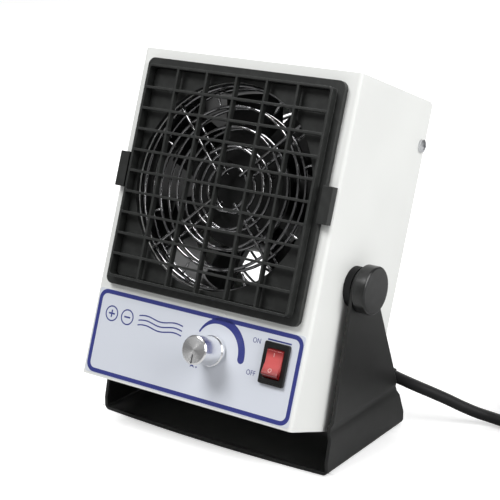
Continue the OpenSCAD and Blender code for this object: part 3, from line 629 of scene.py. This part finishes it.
def make_print(finish):
    bm = bmesh.new()
    printed(bm, rounded(-67.6, 67.6, 1.9, 48.7, 5.5), [rounded(-65.3, 65.3, 4.2, 46.4, 3.4)])
    printed(bm, crescent())
    printed(bm, arc((5.4, 19.4), 0.45, 0, 340, 12))
    printed(bm, star((2.6, 20.2), 2.0, 0.7, 4))
    for x, sign in ((-57, "+"), (-46, "-")):
        printed(bm, arc((x, 36), 4.4, 0, 350, 36), [arc((x, 36), 3.7, 0, 350, 36)])
        printed(bm, rounded(x - 2.1, x + 2.1, 35.55, 36.45, 0.2))
        if sign == "+":
            printed(bm, rounded(x - 0.45, x + 0.45, 36.46, 38.1, 0.2))
            printed(bm, rounded(x - 0.45, x + 0.45, 33.9, 35.54, 0.2))
    for z in (38.6, 36, 33.4):
        printed(bm, wave(-38, z, 30, 0.7, 0.7))
    printed(bm, rounded(46, 60.5, 43.0, 43.8, 0.2))
    letters(bm, "ON", 39.6, 41, 2.7)
    letters(bm, "OFF", 39.6, 24, 2.7)
    raise_print(bm, INK)
    upright = (Matrix.Translation((0, LABEL_FACE*MM, 0)) @ Matrix.Rotation(pi/2, 4, "X")
               @ Matrix.Diagonal((MM, MM, MM, 1)))
    bmesh.ops.transform(bm, matrix=HEAD @ upright, verts=bm.verts)
    return piece("label_print", bm, finish, "head", 30)


def make_rocker_marks(finish):
    """Bar and ring on the two halves of the rocker."""
    bm = bmesh.new()
    swing = Matrix.Translation((SWITCH[0]*MM, 0, SWITCH[1]*MM)) @ Matrix.Rotation(-ROCKER_TIP, 4, "X")
    for half in (1, -1):
        mark = bmesh.new()
        if half == 1:
            printed(mark, rounded(-0.25, 0.25, -1.1, 1.1, 0.2))
        else:
            printed(mark, arc((0, 0), 1.15, 0, 348, 30), [arc((0, 0), 0.7, 0, 348, 30)])
        raise_print(mark, ROCKER_INK)
        up = 4.1*half
        lift = Matrix.Translation(Vector((0, -ROCKER_FACE - abs(up)*tan(ROCKER_TIP) + 0.005, up))*MM)
        face = Matrix.Rotation(pi/2 + half*ROCKER_TIP, 4, "X") @ Matrix.Diagonal((MM, MM, MM, 1))
        bmesh.ops.transform(mark, matrix=HEAD @ swing @ lift @ face, verts=mark.verts)
        mesh = bpy.data.meshes.new("mark")
        mark.to_mesh(mesh)
        mark.free()
        bm.from_mesh(mesh)
        bpy.data.meshes.remove(mesh)
    return piece("rocker_marks", bm, finish, "rocker", 30)


def make_knob_index(finish):
    """Dark line on the knob's face, from near its middle to its rim, which points down at rest."""
    knob = frame["nodes"]["speed_knob"]
    points = [(HEAD.inverted() @ knob.matrix_world @ v.co)/MM for v in knob.data.vertices]
    front = min(p.y for p in points)
    radius = (max(p.x for p in points) - min(p.x for p in points))/2
    bm = bmesh.new()
    line = bmesh.ops.create_cube(bm, size=1)["verts"]
    at = Matrix.Translation(Vector((DIAL[0], front, DIAL[1] - 0.58*radius))*MM)
    size = Matrix.Diagonal((0.7*MM, INDEX_INK*MM, 0.56*radius*MM, 1))
    bmesh.ops.transform(bm, matrix=HEAD @ at @ size, verts=line)
    return piece("knob_index", bm, finish, "speed_dial", 30)


# ---------- studio ----------

def lamp(name, at, towards, size, power):
    data = bpy.data.lights.new(name, "AREA")
    data.size = size
    data.energy = power
    made = bpy.data.objects.new(name, data)
    made.location = at
    made.rotation_euler = (Vector(towards) - Vector(at)).to_track_quat("-Z", "Y").to_euler()
    bpy.context.scene.collection.objects.link(made)


def make_studio():
    world = bpy.data.worlds.new("studio")
    bpy.context.scene.world = world
    world.use_nodes = True
    nodes, links = world.node_tree.nodes, world.node_tree.links
    background = nodes["Background"]
    path = nodes.new("ShaderNodeLightPath")
    seen = nodes.new("ShaderNodeMath")
    seen.operation = "MAXIMUM"
    links.new(path.outputs["Is Camera Ray"], seen.inputs[0])
    links.new(path.outputs["Is Transmission Ray"], seen.inputs[1])
    strength = nodes.new("ShaderNodeMapRange")
    links.new(seen.outputs[0], strength.inputs["Value"])
    strength.inputs["To Min"].default_value = 0.20
    strength.inputs["To Max"].default_value = 1.0
    links.new(strength.outputs[0], background.inputs["Strength"])
    background.inputs["Color"].default_value = (1, 1, 1, 1)

    bm = bmesh.new()
    bmesh.ops.create_grid(bm, x_segments=1, y_segments=1, size=6)
    mesh = bpy.data.meshes.new("floor")
    bm.to_mesh(mesh)
    bm.free()
    floor = bpy.data.objects.new("floor", mesh)
    floor.location.z = -0.0002
    bpy.context.scene.collection.objects.link(floor)
    # The floor looks whiter than the light that it throws back on the part
    finish = Finish("floor", (0.5, 0.5, 0.5), 0.9, **{"Emission Color": (1, 1, 1, 1)})
    straight = Value(finish, finish.node("ShaderNodeLightPath", {}, {}, "Is Camera Ray"))
    finish.set(**{"Base Color": mixed(finish, straight, (0.5, 0.5, 0.5), (0.95, 0.95, 0.95)),
                  "Emission Strength": straight*0.35})
    mesh.materials.append(finish.material)

    lamp("key", (-0.6, -1.0, 2.0), (0, 0, 0.1), 1.0, 40)
    lamp("side", (1.6, -0.1, 1.0), (0, 0, 0.1), 1.2, 28)
    lamp("back", (-0.2, 1.6, 1.2), (0, 0, 0.12), 1.2, 16)


# ---------- the whole ----------

make_camera()
finishes = make_finishes()
cord, route, cord_length = make_cord(finishes["black_rubber"])
boot = make_boot(finishes["black_rubber"])
tie = make_tie(finishes["black_moulding"])

slots = {row["node"]: row["material_slot"] for row in frame["record"]["subparts"]}
for name in frame["nodes"]:
    dress(name, finishes[slots[name]], EDGES.get(name, 0))
make_print(ink("blue_ink", (0.028, 0.036, 0.20)))
make_knob_index(ink("index_ink", (0.02, 0.02, 0.022)))
make_rocker_marks(ink("rocker_ink", (0.52, 0.24, 0.23)))
make_studio()

bpy.context.scene.view_settings.view_transform = "Standard"
